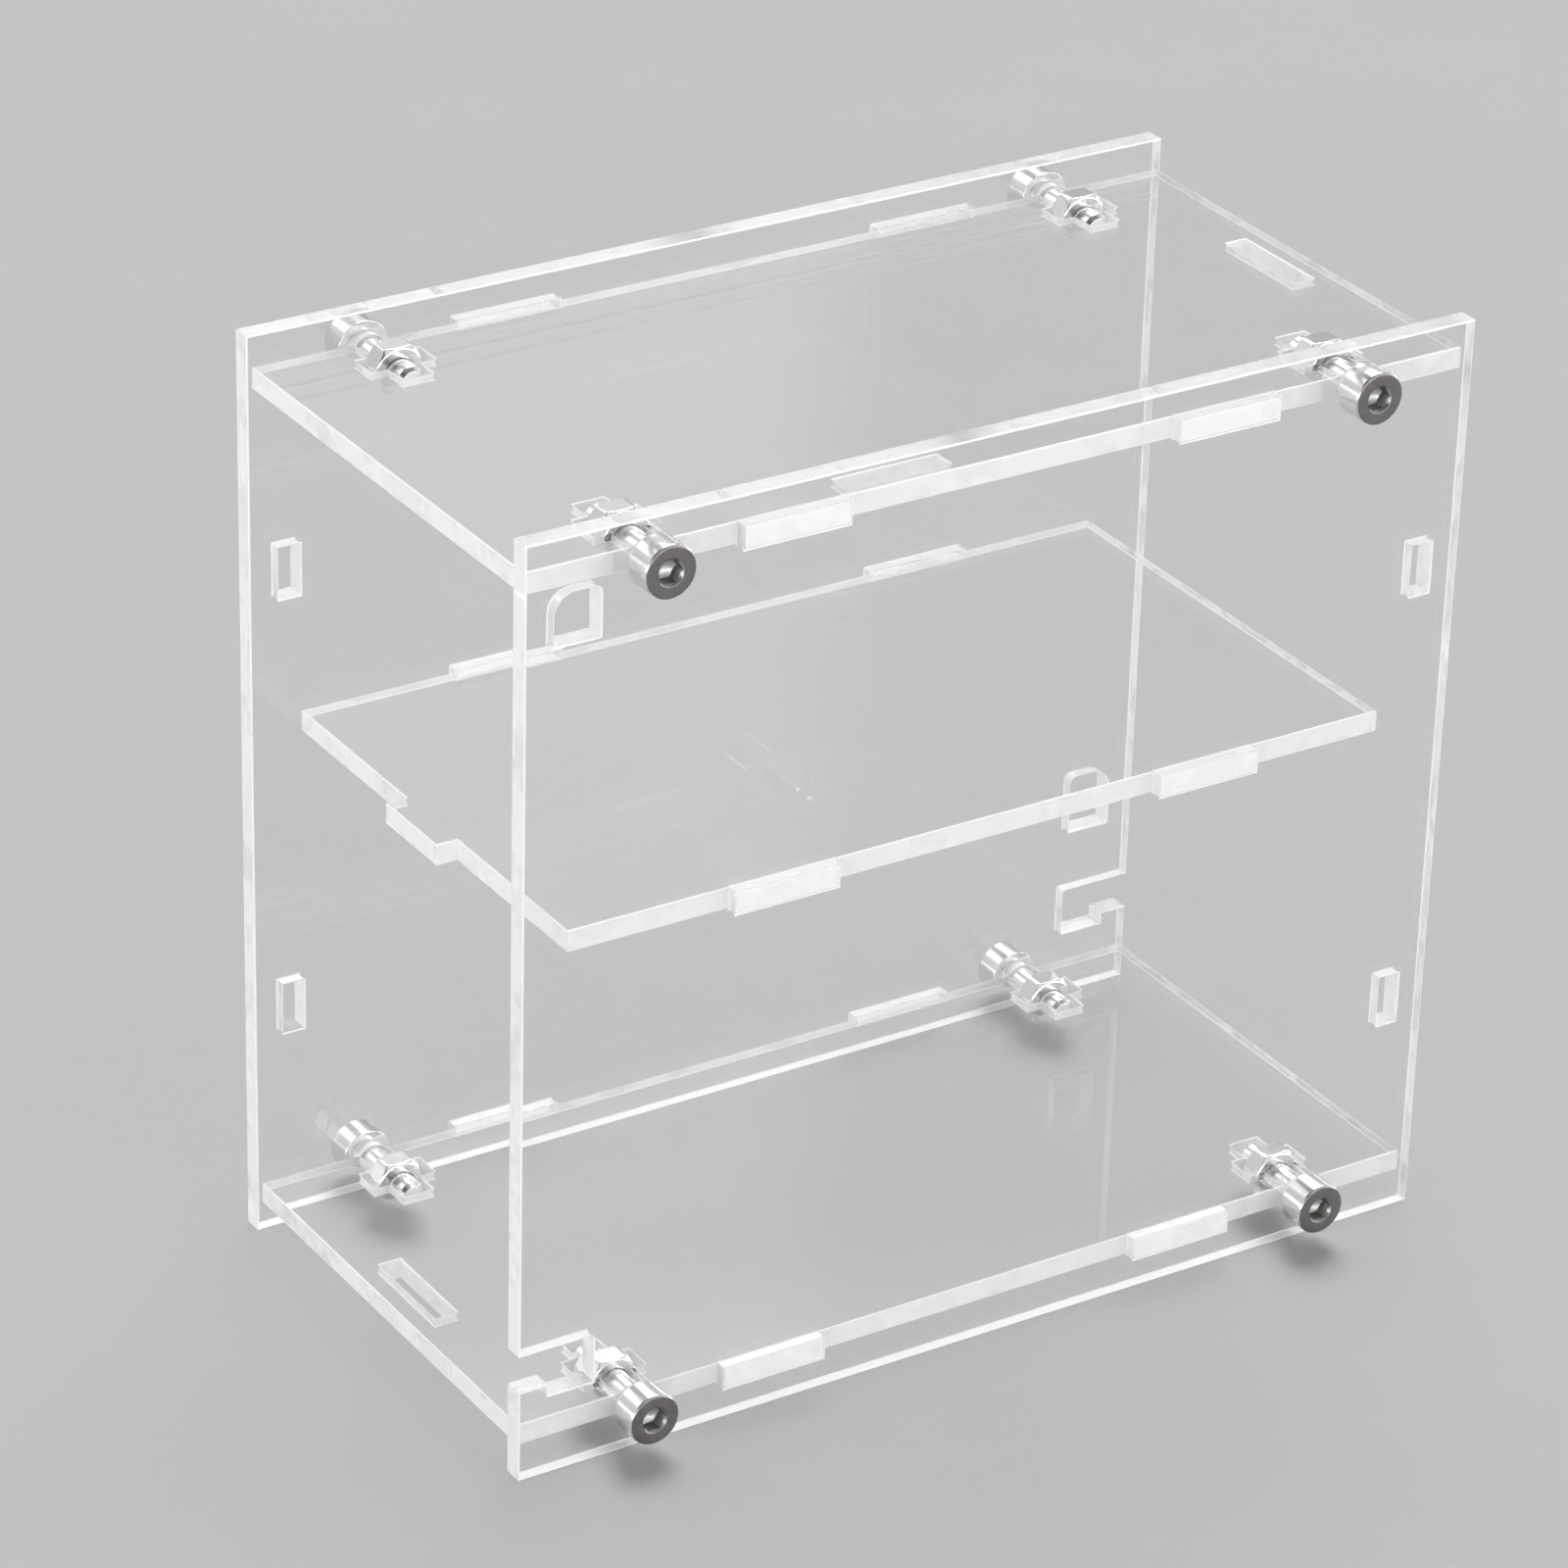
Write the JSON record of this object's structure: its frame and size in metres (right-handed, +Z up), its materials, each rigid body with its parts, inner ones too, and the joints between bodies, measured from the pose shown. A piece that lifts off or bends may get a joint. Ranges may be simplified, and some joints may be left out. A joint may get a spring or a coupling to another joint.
{
  "type": "display case",
  "caption": "Clear acrylic display case with a shelf and open ends: tabbed laser-cut sheets, with front and back panels clamped on by socket-head screws in captive nuts.",
  "frame": {"origin": "on the floor under the middle of the case", "axes": "+Z up, +Y from the front panel to the back panel, +X to the right seen from the front"},
  "size_m": [0.14, 0.0812, 0.131],
  "materials": {
    "clear_acrylic": "clear cast sheet, polished faces and bright laser-cut edges",
    "screw_steel": "bright nickel-plated steel",
    "nut_steel": "bright nickel-plated steel"
  },
  "bodies": {
    "case": {"top_panel": "clear_acrylic", "bottom_panel": "clear_acrylic", "shelf": "clear_acrylic", "nut_front_top_left": "nut_steel", "nut_front_top_right": "nut_steel", "nut_front_bottom_left": "nut_steel", "nut_front_bottom_right": "nut_steel", "nut_back_top_left": "nut_steel", "nut_back_top_right": "nut_steel", "nut_back_bottom_left": "nut_steel", "nut_back_bottom_right": "nut_steel"},
    "front_panel": {"front_panel": "clear_acrylic"},
    "back_panel": {"back_panel": "clear_acrylic"},
    "screw_front_top_left": {"screw_front_top_left": "screw_steel"},
    "screw_front_top_right": {"screw_front_top_right": "screw_steel"},
    "screw_front_bottom_left": {"screw_front_bottom_left": "screw_steel"},
    "screw_front_bottom_right": {"screw_front_bottom_right": "screw_steel"},
    "screw_back_top_left": {"screw_back_top_left": "screw_steel"},
    "screw_back_top_right": {"screw_back_top_right": "screw_steel"},
    "screw_back_bottom_left": {"screw_back_bottom_left": "screw_steel"},
    "screw_back_bottom_right": {"screw_back_bottom_right": "screw_steel"}
  },
  "joints": [
    {"name": "front_panel_off", "type": "slide", "parent": "case", "child": "front_panel", "axis": [0, -1, 0], "range_m": [0, 0.02]},
    {"name": "back_panel_off", "type": "slide", "parent": "case", "child": "back_panel", "axis": [0, 1, 0], "range_m": [0, 0.02]},
    {"name": "screw_front_top_left_turn", "type": "hinge", "parent": "front_panel", "child": "screw_front_top_left", "pos_m": [-0.0523, -0.0366, 0.12525], "axis": [0, -1, 0], "continuous": true},
    {"name": "screw_front_top_right_turn", "type": "hinge", "parent": "front_panel", "child": "screw_front_top_right", "pos_m": [0.0523, -0.0366, 0.12525], "axis": [0, -1, 0], "continuous": true},
    {"name": "screw_front_bottom_left_turn", "type": "hinge", "parent": "front_panel", "child": "screw_front_bottom_left", "pos_m": [-0.0523, -0.0366, 0.00575], "axis": [0, -1, 0], "continuous": true},
    {"name": "screw_front_bottom_right_turn", "type": "hinge", "parent": "front_panel", "child": "screw_front_bottom_right", "pos_m": [0.0523, -0.0366, 0.00575], "axis": [0, -1, 0], "continuous": true},
    {"name": "screw_back_top_left_turn", "type": "hinge", "parent": "back_panel", "child": "screw_back_top_left", "pos_m": [-0.0523, 0.0366, 0.12525], "axis": [0, 1, 0], "continuous": true},
    {"name": "screw_back_top_right_turn", "type": "hinge", "parent": "back_panel", "child": "screw_back_top_right", "pos_m": [0.0523, 0.0366, 0.12525], "axis": [0, 1, 0], "continuous": true},
    {"name": "screw_back_bottom_left_turn", "type": "hinge", "parent": "back_panel", "child": "screw_back_bottom_left", "pos_m": [-0.0523, 0.0366, 0.00575], "axis": [0, 1, 0], "continuous": true},
    {"name": "screw_back_bottom_right_turn", "type": "hinge", "parent": "back_panel", "child": "screw_back_bottom_right", "pos_m": [0.0523, 0.0366, 0.00575], "axis": [0, 1, 0], "continuous": true}
  ]
}
